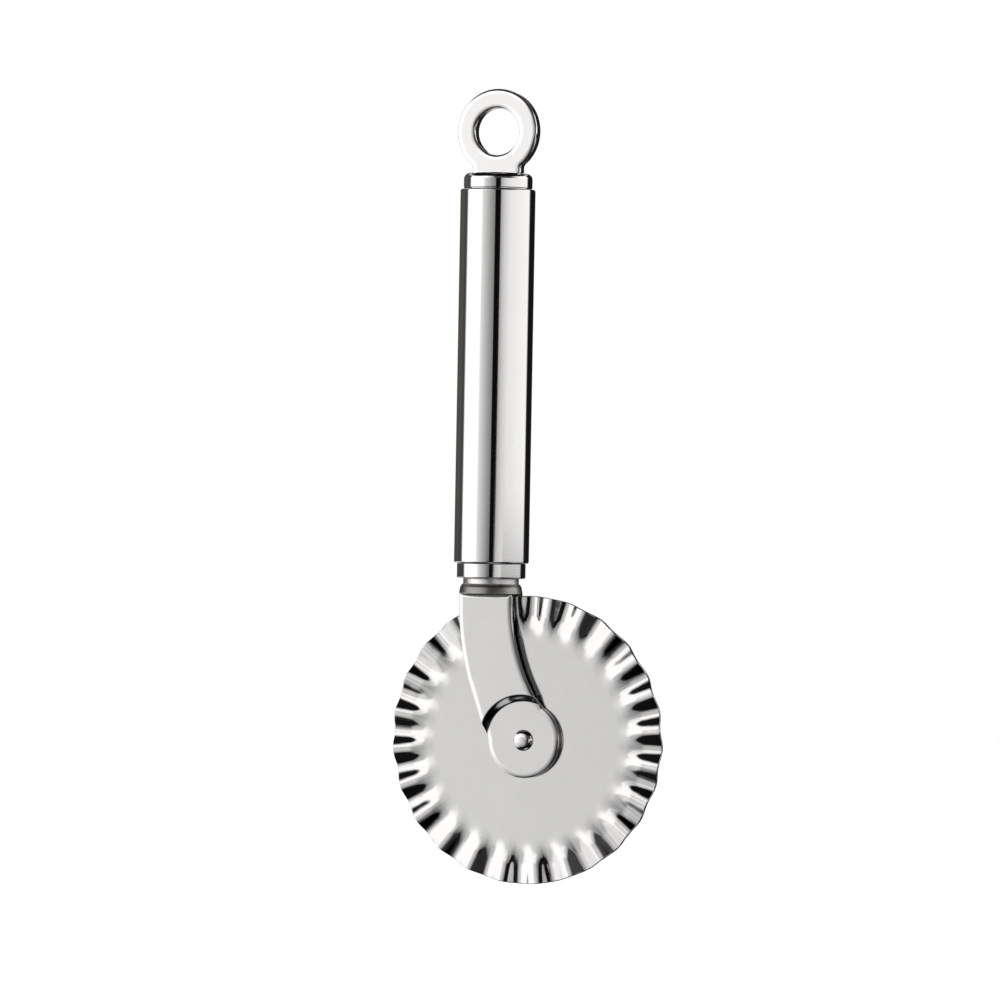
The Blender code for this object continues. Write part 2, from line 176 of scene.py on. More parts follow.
# Finish of the steels. Scales and stretches are of noise, per metre.
SCRATCH_LEAN = (0.3, 0.75, 0.2)
SCRATCH_STRETCH = (260.0, 900.0, 5200.0)
SHEEN_SCALE = 130.0
FINE_SCALE = 900.0
RING_GRAIN_SCALE = 5200.0
RING_GRAIN_TURNS = 9.0
RIM_FINISH_START = 22.5 * MM
RIM_FINISH_END = 28.0 * MM
BUMP_HEIGHT = 0.02 * MM

# Camera, at the photograph's viewing angle, and the floor
CAMERA_AZIMUTH = math.radians(22.0)
CAMERA_LEAN = math.radians(1.04)
CAMERA_TARGET = Vector((0.00168, 0.00071, -0.0898))
CAMERA_DISTANCE = 1.5
FRAME_HEIGHT = 0.2439
SENSOR = 36.0
FLOOR_Z = -0.262
FLOOR_RADIUS = 3.0
FLOOR_GLOW = 0.22


# ---- node helpers ----


class Nodes:
    """A short way to add and link the nodes of one tree."""

    def __init__(self, tree):
        self.tree = tree

    def add(self, kind, links=None, **settings):
        node = self.tree.nodes.new(kind)
        for key, value in settings.items():
            setattr(node, key, value)
        for socket, source in (links or {}).items():
            if isinstance(source, bpy.types.NodeSocket):
                self.tree.links.new(source, node.inputs[socket])
            else:
                node.inputs[socket].default_value = source
        return node

    def math(self, operation, a, b=0.0, c=0.0):
        return self.add("ShaderNodeMath", {0: a, 1: b, 2: c}, operation=operation).outputs[0]

    def vector_math(self, operation, a, b):
        return self.add("ShaderNodeVectorMath", {0: a, 1: b}, operation=operation).outputs[0]

    def ramp(self, factor, stops):
        """Straight runs between stops of (place, value), where a value is a grey or a colour."""
        node = self.add("ShaderNodeValToRGB", {0: factor})
        band = node.color_ramp
        while len(band.elements) > 1:
            band.elements.remove(band.elements[-1])
        for i, (place, value) in enumerate(stops):
            element = band.elements[0] if i == 0 else band.elements.new(place)
            element.position = place
            colour = value if isinstance(value, tuple) else (value, value, value)
            element.color = (*colour, 1.0)
        return node.outputs[0]

    def blend(self, share, first, second):
        """The first colour where share is 0 and the second where it is 1."""
        node = self.add("ShaderNodeMix", data_type="RGBA")
        for place, source in ((0, share), (6, first), (7, second)):
            self.tree.links.new(source, node.inputs[place])
        return node.outputs[2]

    def noise(self, vector, scale, detail=2.0, roughness=0.5):
        node = self.add(
            "ShaderNodeTexNoise",
            {"Vector": vector, "Scale": scale, "Detail": detail, "Roughness": roughness},
        )
        return node.outputs[0]


def round_the_axle(nodes, place):
    """Coordinates whose noise runs in rings round the axle, and the distance from the axle."""
    centred = nodes.vector_math("SUBTRACT", place, AXLE)
    apart = nodes.add("ShaderNodeSeparateXYZ", {0: centred})
    flat = nodes.add("ShaderNodeCombineXYZ", {0: apart.outputs[0], 2: apart.outputs[2]})
    length = nodes.add("ShaderNodeVectorMath", {0: flat.outputs[0]}, operation="LENGTH")
    unit = nodes.add("ShaderNodeVectorMath", {0: flat.outputs[0]}, operation="NORMALIZE")
    turn = nodes.add("ShaderNodeSeparateXYZ", {0: unit.outputs[0]})
    rings = nodes.add("ShaderNodeCombineXYZ", {
        0: nodes.math("MULTIPLY", length.outputs["Value"], RING_GRAIN_SCALE),
        1: nodes.math("MULTIPLY", turn.outputs[0], RING_GRAIN_TURNS),
        2: nodes.math("MULTIPLY", turn.outputs[2], RING_GRAIN_TURNS),
    })
    return rings.outputs[0], length.outputs["Value"]


def steel(name, tone, roughness, stretch, bump=0.10, scratch=0.5, circular=False, rim=1.0):
    """Stainless steel with a fine grain, sparse micro-scratches and a slight uneven sheen.

    The grain is drawn out along stretch, or runs round the axle line if circular. Then the
    roughness is rim times as large out in the flutes.
    """
    material = bpy.data.materials.new(name)
    material.use_nodes = True
    nodes = Nodes(material.node_tree)
    shader = material.node_tree.nodes["Principled BSDF"]
    shader.inputs["Metallic"].default_value = 1.0
    place = nodes.add("ShaderNodeTexCoord").outputs["Object"]
    if circular:
        grain_place, axle_distance = round_the_axle(nodes, place)
    else:
        stretched = nodes.add("ShaderNodeMapping", {"Vector": place, "Scale": stretch})
        grain_place = stretched.outputs[0]
    grain = nodes.noise(grain_place, 1.0, 3.0, 0.55)
    slanted = nodes.add(
        "ShaderNodeMapping",
        {"Vector": place, "Rotation": SCRATCH_LEAN, "Scale": SCRATCH_STRETCH},
    )
    lines = nodes.noise(slanted.outputs[0], 1.0, 1.0, 0.4)
    scratches = nodes.ramp(lines, [(0.0, 0.0), (0.665, 0.0), (0.70, 1.0), (1.0, 1.0)])
    sheen = nodes.noise(place, SHEEN_SCALE, 3.0, 0.55)
    fine = nodes.noise(place, FINE_SCALE, 2.0, 0.5)
    worn = nodes.math("MULTIPLY_ADD", fine, 0.35, nodes.math("MULTIPLY", sheen, 0.65))
    rough = nodes.math("MULTIPLY_ADD", worn, 0.5 * roughness, 0.75 * roughness)
    rough = nodes.math("MULTIPLY_ADD", scratches, 0.10 * scratch, rough)
    rough = nodes.math("SUBTRACT", rough, 0.15 * roughness)
    rough = nodes.math("MULTIPLY_ADD", grain, 0.30 * roughness, rough)
    if rim != 1.0:
        outwards = nodes.add(
            "ShaderNodeMapRange",
            {"Value": axle_distance, 1: RIM_FINISH_START, 2: RIM_FINISH_END, 3: 1.0, 4: rim},
            interpolation_type="SMOOTHSTEP",
        )
        rough = nodes.math("MULTIPLY", rough, outwards.outputs[0])
    nodes.tree.links.new(rough, shader.inputs["Roughness"])
    low = (0.965 * tone, 0.960 * tone, 0.950 * tone)
    high = (min(1.0, 1.02 * tone), min(1.0, 1.012 * tone), min(1.0, 1.005 * tone))
    colour = nodes.ramp(worn, [(0.25, low), (0.75, high)])
    nodes.tree.links.new(colour, shader.inputs["Base Color"])
    height = nodes.math("MULTIPLY_ADD", scratches, -0.5 * scratch, grain)
    bumps = nodes.add(
        "ShaderNodeBump", {"Strength": bump, "Distance": BUMP_HEIGHT, "Height": height}
    )
    nodes.tree.links.new(bumps.outputs[0], shader.inputs["Normal"])
    return material


def paint_shade_below(material, height, painted_shade):
    """Darkens a steel's colour below a height: painted shade, standing in for the shade on a
    shoulder.
    """
    nodes = Nodes(material.node_tree)
    shader = material.node_tree.nodes["Principled BSDF"]
    colour = shader.inputs["Base Color"].links[0].from_socket
    place = nodes.add("ShaderNodeTexCoord").outputs["Object"]
    z = nodes.add("ShaderNodeSeparateXYZ", {0: place}).outputs[2]
    share = nodes.add(
        "ShaderNodeMapRange",
        {"Value": z, 1: height - 0.1 * MM, 2: height + 0.1 * MM, 3: 0.0, 4: 1.0},
        interpolation_type="SMOOTHSTEP",
    )
    # Painted shade: the colour times the dark grey below the height, the plain colour above it
    mixed = nodes.blend(share.outputs[0], nodes.vector_math("MULTIPLY", colour, painted_shade), colour)
    nodes.tree.links.new(mixed, shader.inputs["Base Color"])


# ---- mesh helpers ----


def smooth(value, low, high):
    """0 up to low, 1 from high on, and an even S curve between them."""
    share = min(1.0, max(0.0, (value - low) / (high - low)))
    return share * share * (3 - 2 * share)


def finish_piece(name, bm, material, body, sharp=32):
    """Makes a smooth shaded piece that rides on a body and stands for the node of its name."""
    bmesh.ops.recalc_face_normals(bm, faces=bm.faces)
    mesh = bpy.data.meshes.new(name + "_fine")
    bm.to_mesh(mesh)
    bm.free()
    mesh.shade_smooth()
    mesh.set_sharp_from_angle(angle=math.radians(sharp))
    mesh.materials.append(material)
    piece = bpy.data.objects.new(name + "_fine", mesh)
    bpy.context.scene.collection.objects.link(piece)
    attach(piece, body)
    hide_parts(name)
    return piece


def rounded_profile(corners, steps=6):
    """A closed (radius, height) profile from corners of (radius, height, rounding)."""
    points = []
    count = len(corners)
    for i, (radius, height, rounding) in enumerate(corners):
        corner = Vector((radius, height))
        if rounding <= 0:
            points.append(corner)
            continue
        to_last = (Vector(corners[i - 1][:2]) - corner).normalized()
        to_next = (Vector(corners[(i + 1) % count][:2]) - corner).normalized()
        half = to_last.angle(to_next) / 2
        reach = rounding / math.tan(half)
        centre = corner + (to_last + to_next).normalized() * (rounding / math.sin(half))
        start = corner + to_last * reach - centre
        end = corner + to_next * reach - centre
        sweep = start.angle_signed(end)
        points.append(corner + to_last * (reach + 0.05 * MM))
        for k in range(steps + 1):
            points.append(centre + Matrix.Rotation(-sweep * k / steps, 2) @ start)
        points.append(corner + to_next * (reach + 0.05 * MM))
    return points


def upright(radius, angle, height):
    """A place on a piece that is turned about the handle's axis."""
    return Vector((radius * math.sin(angle), -radius * math.cos(angle), height))


def on_axle(radius, angle, height):
    """A place on a piece that is turned about the axle. Heights run to the rear."""
    return AXLE + Vector((radius * math.sin(angle), height, radius * math.cos(angle)))


def turned(profile, place, steps=144):
    """Turns a closed profile. Points on the axis become poles."""
    bm = bmesh.new()
    rings = []
    for point in profile:
        if point.x < 1e-7:
            rings.append([bm.verts.new(place(0.0, 0.0, point.y))])
        else:
            rings.append([
                bm.verts.new(place(point.x, math.tau * k / steps, point.y)) for k in range(steps)
            ])
    for lower, upper in zip(rings, rings[1:] + rings[:1]):
        if len(lower) == 1 and len(upper) == 1:
            continue
        for k in range(steps):
            after = (k + 1) % steps
            if len(lower) == 1:
                bm.faces.new((lower[0], upper[after], upper[k]))
            elif len(upper) == 1:
                bm.faces.new((lower[k], lower[after], upper[0]))
            else:
                bm.faces.new((lower[k], lower[after], upper[after], upper[k]))
    return bm


def add_band(bm, lower, upper, closed):
    """Quads between two rows of vertices."""
    count = len(lower)
    for i in range(count if closed else count - 1):
        j = (i + 1) % count
        bm.faces.new((lower[i], lower[j], upper[j], upper[i]))


def edge_stations(rounding, reach=0.0):
    """Distances from an edge at which the surface needs a row of vertices."""
    turns = (0, 20, 42, 66, 90)
    near = [rounding * (1 - math.cos(math.radians(turn))) for turn in turns]
    if reach == 0.0:
        return near + [1.2 * rounding]
    return near + [rounding + (reach - rounding) * k / 7 for k in range(1, 8)] + [1.1 * reach]


def across_shares(width, middle):
    """Shares from 0 to 1 across a width, close together near both edges."""
    near = [distance / width for distance in edge_stations(EDGE_ROUND, EDGE_REACH)]
    first = near[-1]
    inner = [first + (1 - 2 * first) * k / middle for k in range(1, middle)]
    return near + inner + [1 - share for share in reversed(near)]


def thicken(bm, front, rear, slope, rounding, sharp_edge):
    """Makes a plate of a flat mesh in X and Z, whose faces fall away softly to its edges.

    front and rear give the faces' Y at a point. The soft fall is slope steep at the edge
    itself, where a round of the radius rounding is added. An edge for which sharp_edge is
    true stays square.
    """
    bm.verts.ensure_lookup_table()
    starts, ends = [], []
    for edge in bm.edges:
        a, b = (vert.co for vert in edge.verts)
        if edge.is_boundary and not sharp_edge(a, b):
            starts.append((a.x, a.z))
            ends.append((b.x, b.z))
    starts = np.array(starts)
    along = np.array(ends) - starts
    lengths = (along ** 2).sum(1)
    grown = bmesh.ops.extrude_face_region(bm, geom=list(bm.faces), use_keep_orig=True)
    front_verts = {item for item in grown["geom"] if isinstance(item, bmesh.types.BMVert)}
    for vert in bm.verts:
        point = np.array((vert.co.x, vert.co.z))
        share = np.clip(((point - starts) * along).sum(1) / lengths, 0, 1)
        gaps = starts + along * share[:, None] - point
        distance = math.sqrt((gaps ** 2).sum(1).min())
        inside = max(0.0, rounding - distance)
        drop = rounding - math.sqrt(max(0.0, rounding ** 2 - inside ** 2))
        drop += 0.5 * slope * EDGE_REACH * max(0.0, 1 - distance / EDGE_REACH) ** 2
        if vert in front_verts:
            vert.co.y = front(vert.co) + drop
        else:
            vert.co.y = rear(vert.co) - drop


# ---- the hanging eye ----


def eye_reach(angle):
    """Distance from the eye's centre to its outline. An angle of 0 is +X, 90 degrees is up."""
    direction = Vector((math.cos(angle), math.sin(angle)))
    fillet = Vector((FOOT_WAIST + FOOT_FILLET, 0))
    fillet.y = -math.sqrt((EYE_RADIUS + FOOT_FILLET) ** 2 - fillet.x ** 2)
    side = Vector((abs(direction.x), direction.y))
    lean = math.atan2(fillet.y, fillet.x)
    waist = math.atan2(fillet.y, FOOT_WAIST)
    corner = math.atan2(FOOT_BOTTOM_Z, FOOT_WAIST)
    aside = math.atan2(side.y, side.x)
    if aside >= lean:
        return EYE_RADIUS
    if aside >= waist:
        middle = side.dot(fillet)
        return middle - math.sqrt(max(0.0, middle ** 2 - fillet.length_squared + FOOT_FILLET ** 2))
    if aside >= corner:
        return FOOT_WAIST / side.x
    return FOOT_BOTTOM_Z / side.y


def make_eye():
    """Rings from the bore to the outline, made into a plate with rounded edges."""
    corner = math.atan2(FOOT_BOTTOM_Z, FOOT_WAIST)
    angles = [math.tau * k / EYE_STEPS - math.pi for k in range(EYE_STEPS)]
    for k in range(FOOT_CORNER_STEPS):
        angles.append(corner + k * FOOT_CORNER_TURN)
        angles.append(-math.pi - corner - k * FOOT_CORNER_TURN)
    angles.sort()
    spans = [eye_reach(angle) - EYE_HOLE for angle in angles]
    shares = [across_shares(span, EYE_STEPS_ACROSS) for span in spans]
    bm = bmesh.new()
    rings = []
    for index in range(len(shares[0])):
        ring = []
        for angle, span, own_shares in zip(angles, spans, shares):
            radius = EYE_HOLE + span * own_shares[index]
            ring.append(bm.verts.new((radius * math.cos(angle), 0, radius * math.sin(angle))))
        rings.append(ring)
    for inner, outer in zip(rings, rings[1:]):
        add_band(bm, inner, outer, True)
    low = FOOT_BOTTOM_Z + 0.001 * MM
    thicken(
        bm, lambda p: -EYE_HALF_THICKNESS, lambda p: EYE_HALF_THICKNESS, EYE_EDGE_SLOPE,
        EDGE_ROUND, lambda a, b: a.z < low and b.z < low,
    )
    material = steel("eye_steel", 0.98, 0.11, (3200.0, 900.0, 90.0), bump=0.02, scratch=0.2)
    finish_piece("hanging_eye", bm, material, "handle", 40)


# ---- the handle ----


def turned_piece(name, corners, material, place=upright, body="handle", steps=144):
    """A finished piece that is turned from corners of (radius, height, rounding)."""
    bm = turned(rounded_profile(corners), place, steps)
    return finish_piece(name, bm, material, body)


def make_tube():
    material = steel("tube_steel", 0.76, 0.055, (900.0, 900.0, 26.0), bump=0.035, scratch=0.35)
    turned_piece("handle_tube", [
        (TUBE_BORE_RADIUS, TUBE_BOTTOM_Z, 0), (TUBE_RADIUS, TUBE_BOTTOM_Z, TUBE_ROUND),
        (TUBE_RADIUS, TUBE_TOP_Z, TUBE_ROUND), (TUBE_BORE_RADIUS, TUBE_TOP_Z, 0),
    ], material, steps=192)


def make_caps():
    material = steel("cap_steel", 0.76, 0.075, (400.0, 400.0, 5200.0), bump=0.04, scratch=0.35)
    turned_piece("top_cap", [
        (0, TOP_SPIGOT_END_Z, 0), (SPIGOT_RADIUS, TOP_SPIGOT_END_Z, SPIGOT_ROUND),
        (SPIGOT_RADIUS, TOP_CAP_SKIRT_Z - 0.1 * MM, SPIGOT_FILLET),
        (CAP_RADIUS, TOP_CAP_SKIRT_Z, CAP_SKIRT_ROUND),
        (CAP_RADIUS, TOP_CAP_TOP_Z, TOP_CAP_ROUND), (0, TOP_CAP_TOP_Z, 0),
    ], material)
    turned_piece("bottom_cap", [
        (STEM_HOLE, BOTTOM_CAP_END_Z, 0), (CAP_RADIUS, BOTTOM_CAP_END_Z, BOTTOM_CAP_ROUND),
        (CAP_RADIUS, BOTTOM_CAP_SKIRT_Z, CAP_SKIRT_ROUND),
        (SPIGOT_RADIUS, BOTTOM_CAP_SKIRT_Z + 0.1 * MM, SPIGOT_FILLET),
        (SPIGOT_RADIUS, BOTTOM_SPIGOT_END_Z, SPIGOT_ROUND), (STEM_HOLE, BOTTOM_SPIGOT_END_Z, 0),
    ], material)


def step_cutter():
    """A block that covers the shoulder in front of the ferrule's lip, from the lip's top down."""
    bm = bmesh.new()
    bmesh.ops.create_cube(bm, size=1.0)
    for vert in bm.verts:
        vert.co.x *= 40.0 * MM
        vert.co.y = -20.0 * MM if vert.co.y < 0 else LIP_FRONT_Y
        vert.co.z = -120.0 * MM if vert.co.z < 0 else LIP_TOP_Z
    mesh = bpy.data.meshes.new("ferrule_cutter")
    bm.to_mesh(mesh)
    bm.free()
    cutter = bpy.data.objects.new("ferrule_cutter", mesh)
    bpy.context.scene.collection.objects.link(cutter)
    return cutter


def make_ferrule():
    """A turned neck and shoulder. A cutter leaves a lip at the rear, behind the wheel."""
    material = steel("ferrule_steel", 0.86, 0.36, (200.0, 200.0, 3200.0), bump=0.03)
    # Painted shade: the shoulder below a height is darkened in colour
    paint_shade_below(material, SHOULDER_PAINTED_SHADE_Z, SHOULDER_PAINTED_SHADE)
    piece = turned_piece("ferrule", [
        (0, SHOULDER_BOTTOM_Z, 0), (SHOULDER_RADIUS, SHOULDER_BOTTOM_Z, 0.25 * MM),
        (SHOULDER_RADIUS, -112.5 * MM, 0.8 * MM), (7.5 * MM, -111.1 * MM, 0.6 * MM),
        (7.1 * MM, -110.4 * MM, 0.3 * MM), (NECK_RADIUS, NECK_BOTTOM_Z, 0.1 * MM),
        (NECK_RADIUS, NECK_TOP_Z, 0.1 * MM), (STEM_RADIUS, NECK_TOP_Z, 0),
        (STEM_RADIUS, STEM_TOP_Z, 0.3 * MM), (0, STEM_TOP_Z, 0),
    ], material)
    cutter = step_cutter()
    boolean = piece.modifiers.new("step", "BOOLEAN")
    boolean.operation = "DIFFERENCE"
    boolean.solver = "EXACT"
    boolean.object = cutter
    graph = bpy.context.evaluated_depsgraph_get()
    carved = bpy.data.meshes.new_from_object(piece.evaluated_get(graph))
    piece.modifiers.clear()
    piece.data = carved
    carved.shade_smooth()
    carved.set_sharp_from_angle(angle=math.radians(32))
    bpy.data.objects.remove(cutter, do_unlink=True)


# ---- the wheel arm ----


def arm_left_edge():
    """From the top, straight down and then in a long sweep on to the boss's left side."""
    boss_left = Vector((AXLE.x - BOSS_RADIUS, AXLE.z))
    start = Vector((-ARM_HALF_WIDTH, ARM_STRAIGHT_END_Z))
    pulls = (start + ARM_LEFT_PULL_DOWN, boss_left + ARM_LEFT_PULL_UP)
    sweep = interpolate_bezier(start, *pulls, boss_left, ARM_EDGE_STEPS)
    return [Vector((-ARM_HALF_WIDTH, ARM_TOP_Z))] + list(sweep)


def arm_right_edge():
    """From the top, straight down and then round one large arc that flares outwards."""
    centre = Vector((ARM_HALF_WIDTH + ARM_RIGHT_BEND, ARM_STRAIGHT_END_Z))
    points = [Vector((ARM_HALF_WIDTH, ARM_TOP_Z))]
    for k in range(ARM_EDGE_STEPS + 1):
        angle = math.radians(180 + 0.5 * k)
        points.append(centre + ARM_RIGHT_BEND * Vector((math.cos(angle), math.sin(angle))))
    return points


def point_at(edge, measure, value):
    """The first point along an edge where measure(point) falls to value."""
    for a, b in zip(edge, edge[1:]):
        high, low = measure(a), measure(b)
        if high >= value >= low and high > low:
            return a.lerp(b, (high - value) / (high - low))
    return edge[-1]


def from_axle(point):
    return (point - Vector((AXLE.x, AXLE.z))).length


def arm_row(left, right, bow):
    """Points from left to right, on a circle about the axle where bow is 1."""
    axle = Vector((AXLE.x, AXLE.z))
    a, b = left - axle, right - axle
    start = math.atan2(a.y, a.x) % math.tau
    end = math.atan2(b.y, b.x)
    row = []
    for share in across_shares((right - left).length, ARM_STEPS_ACROSS):
        angle = start + (end - start) * share
        radius = a.length * (1 - share) + b.length * share
        bowed = axle + radius * Vector((math.cos(angle), math.sin(angle)))
        row.append(left.lerp(right, share).lerp(bowed, bow))
    return row


def past_step(co):
    """0 on the boss, 1 on the arm and in between on the step that joins them."""
    return smooth(math.hypot(co.x - AXLE.x, co.z - AXLE.z), STEP_INNER, STEP_OUTER)


def arm_front(co):
    return BOSS_FRONT_Y + (ARM_FRONT_Y - BOSS_FRONT_Y) * past_step(co)


def arm_rear(co):
    return BOSS_REAR_Y + (ARM_REAR_Y - BOSS_REAR_Y) * past_step(co)


def arm_rows(left, right):
    """Rows of points up the arm, from the boss's upper rim to the arm's top."""
    rows = []
    for k in range(BOWED_ROWS):
        radius = BOSS_RADIUS + RIM_LIFT + BOWED_REACH * k / (BOWED_ROWS - 1)
        ends = [point_at(edge, from_axle, radius) for edge in (left, right)]
        rows.append(arm_row(ends[0], ends[1], 1.0))
    stations = edge_stations(EDGE_ROUND, EDGE_REACH)
    rise = ARM_TOP_Z - stations[-1] - LEVEL_ROWS_Z
    levels = [LEVEL_ROWS_Z + rise * k / (LEVEL_ROWS - 1) for k in range(LEVEL_ROWS)]
    levels += [ARM_TOP_Z - distance for distance in reversed(stations[:-1])]
    for k, level in enumerate(levels):
        ends = [point_at(edge, lambda p: p.y, level) for edge in (left, right)]
        bow = max(0.0, 1 - (k + 1) / BOW_FADE_ROWS) ** BOW_FADE_POWER
        rows.append(arm_row(ends[0], ends[1], bow))
    return rows


def boss_rim(first_row, axle):
    """The boss's outline: the arm's first row, then the free edge round below."""
    first = first_row[-1] - axle
    start = math.atan2(first.y, first.x)
    rim = list(first_row)
    for k in range(1, RIM_STEPS_BELOW):
        angle = start + (-math.pi - start) * k / RIM_STEPS_BELOW
        rim.append(axle + (BOSS_RADIUS + RIM_LIFT) * Vector((math.cos(angle), math.sin(angle))))
    return rim


def make_arm():
    """Rings for the boss and rows up to the top, made into a plate with rounded edges."""
    axle = Vector((AXLE.x, AXLE.z))
    rows = arm_rows(arm_left_edge(), arm_right_edge())
    rim = boss_rim(rows[0], axle)
    stations = edge_stations(EDGE_ROUND, EDGE_REACH)
    ring_radii = [BOSS_HOLE] + [radius * MM for radius in (3.2, 4.6, 6.0, 7.2)]
    ring_radii += [BOSS_RADIUS - distance for distance in reversed(stations[1:])]
    bm = bmesh.new()
    rings = []
    for radius in ring_radii:
        ring = []
        for point in rim:
            offset = point - axle
            spot = axle + offset * (radius / offset.length)
            ring.append(bm.verts.new((spot.x, 0, spot.y)))
        rings.append(ring)
    rings.append([bm.verts.new((point.x, 0, point.y)) for point in rim])
    for inner, outer in zip(rings, rings[1:]):
        add_band(bm, inner, outer, True)
    verts = [rings[-1][:len(rows[0])]]
    for row in rows[1:]:
        verts.append([bm.verts.new((point.x, 0, point.y)) for point in row])
    for lower, upper in zip(verts, verts[1:]):
        add_band(bm, lower, upper, False)
    hole = BOSS_HOLE + 0.01 * MM
    thicken(
        bm, arm_front, arm_rear, ARM_EDGE_SLOPE, ARM_EDGE_ROUND,
        lambda a, b: from_axle(Vector((a.x, a.z))) < hole,
    )
    material = steel("arm_steel", 0.70, 0.12, (3200.0, 900.0, 90.0), bump=0.02, scratch=0.2)
    finish_piece("wheel_arm", bm, material, "handle", 45)


# ---- the wheel and what is on its axle ----


def wall_heights():
    """Heights across half a flute, from -1 on a front ridge to 1, and the wall's mean slope.

    The mean is a share of the steepest slope, which is in the wall's middle.
    """
    across = np.linspace(0, 0.25, WALL_STEPS + 1)
    slopes = [sum(part * smooth(u, low, high) for part, low, high in WALL_STAGES) for u in across]
    heights = np.concatenate(([0.0], np.cumsum((np.array(slopes[1:]) + slopes[:-1]) / 2)))
    mean = heights[-1] / WALL_STEPS
    rise = heights / heights[-1] - 1
    return np.concatenate((rise, -rise[-2::-1])), mean


def flute_depth(radius, mean):
    """How far the ridges stand out of the disc's plane, from the walls' steepest slope there."""
    out = min(1.0, max(0.0, (radius - FLUTE_START) / FLUTE_ONSET))
    steepest = FIRST_SLOPE * out ** 2 / (out + FIRST_BEND)
    for slope, low, high in SLOPE_STAGES:
        steepest += slope * smooth(radius, low, high)
    quarter = math.tau * radius / FLUTES / 4
    return math.tan(math.radians(steepest)) * mean * quarter


def wheel_rings():
    """Radius and half thickness of each ring of vertices, from the hub to the rim."""
    rings = [(WHEEL_HUB + k * FLAT_RING_STEP, WHEEL_HALF_SHEET) for k in range(FLAT_RINGS)]
    width = WHEEL_RADIUS - 1.12 * RIM_ROUND - FLUTED_RINGS_START
    for k in range(FLUTED_RINGS + 1):
        rings.append((FLUTED_RINGS_START + width * k / FLUTED_RINGS, WHEEL_HALF_SHEET))
    for distance in reversed(edge_stations(RIM_ROUND)[:-1]):
        inside = RIM_ROUND - distance
        drop = RIM_ROUND - math.sqrt(max(0.0, RIM_ROUND ** 2 - inside ** 2))
        rings.append((WHEEL_RADIUS - distance, WHEEL_HALF_SHEET - drop))
    return rings


def pressed(radius, depth, turns, heights):
    """A place on the flat disc, turns flutes round, and how far the sheet stands behind it.

    The flutes have the slight waviness and the fine streaks of pressing.
    """
    phase = (turns + 0.5) % 1.0 - 0.5
    angle = CREST_ANGLE + math.tau * turns / FLUTES
    spot = on_axle(radius, angle, 0)
    offset = depth * np.interp(abs(phase), np.linspace(0, 0.5, len(heights)), heights)
    coarse, fine = (noise.noise(spot * scale) for scale in WAVE_SCALES)
    wave = coarse + WAVE_FINE_SHARE * fine
    offset += WAVE_HEIGHT * wave * smooth(radius, *WAVE_ONSET)
    streak = noise.noise((angle * STREAK_SCALES[0], radius * STREAK_SCALES[1], 0.0))
    offset += STREAK_HEIGHT * streak * smooth(radius, *STREAK_ONSET)
    return spot, offset


def make_wheel():
    """A thin disc whose rim is pressed into flutes."""
    bm = bmesh.new()
    heights, mean = wall_heights()
    sheets = []
    for side in (-1, 1):
        rings = []
        for radius, half in wheel_rings():
            depth = flute_depth(radius, mean)
            ring = []
            for k in range(FLUTES * FLUTE_STEPS):
                spot, offset = pressed(radius, depth, k / FLUTE_STEPS, heights)
                ring.append(bm.verts.new(spot + Vector((0, offset + side * half, 0))))
            rings.append(ring)
        for inner, outer in zip(rings, rings[1:]):
            add_band(bm, inner, outer, True)
        sheets.append(rings)
    add_band(bm, sheets[0][0], sheets[1][0], True)
    add_band(bm, sheets[0][-1], sheets[1][-1], True)
    material = steel("wheel_steel", 0.685, 0.13, None, 0.03, 0.25, circular=True, rim=0.6)
    finish_piece("cutting_wheel", bm, material, "wheel", 60)


def ring_on_axle(name, material, body, corners):
    """A ring that is turned about the axle, from corners in millimetres."""
    scaled = [(radius * MM, place * MM, rounding * MM) for radius, place, rounding in corners]
    turned_piece(name, scaled, material, on_axle, body)


def make_axle_parts():
    material = steel("washer_steel", 0.63, 0.28, None, bump=0.10, circular=True)
    ring_on_axle("front_washer", material, "handle", [
        (2.2, -0.8, 0.03), (2.2, -0.5, 0.03), (4.5, -0.5, 0.05), (4.5, -0.8, 0.05),
    ])
    ring_on_axle("rear_washer", material, "handle", [
        (2.2, 1.4, 0.04), (2.2, 1.8, 0.04), (4.3, 1.8, 0.12), (4.3, 1.4, 0.08),
    ])
    ring_on_axle("hub_bush", material, "wheel", [
        (2.05, -0.4, 0.05), (2.05, 1.3, 0.05), (4.9, 1.3, 0.2), (4.9, 0.5, 0.05),
        (2.9, 0.5, 0.05), (2.9, -0.4, 0.05),
    ])


def dome(radius, height, base, sign):
    """Profile points of a low dome that is a little flat on top, from its foot to its pole."""
    points = []
    for k in range(DOME_STEPS + 1):
        angle = math.radians(90 * k / DOME_STEPS)
        reach = radius * math.cos(angle) ** 0.8 if k < DOME_STEPS else 0.0
        rise = height * math.sin(angle) ** 0.9
        points.append(Vector((reach, base + sign * rise)))
    return points


def make_rivet():
    front = dome(*FRONT_HEAD, -1)
    rear = dome(*REAR_HEAD, 1)
    shank = [Vector((RIVET_RADIUS, head[2])) for head in (FRONT_HEAD, REAR_HEAD)]
    material = steel("rivet_steel", 0.70, 0.15, (900.0, 900.0, 900.0), bump=0.08)
    bm = turned(list(reversed(front)) + shank + rear, on_axle, 96)
    finish_piece("axle_rivet", bm, material, "handle", 45)


# ---- the studio ----

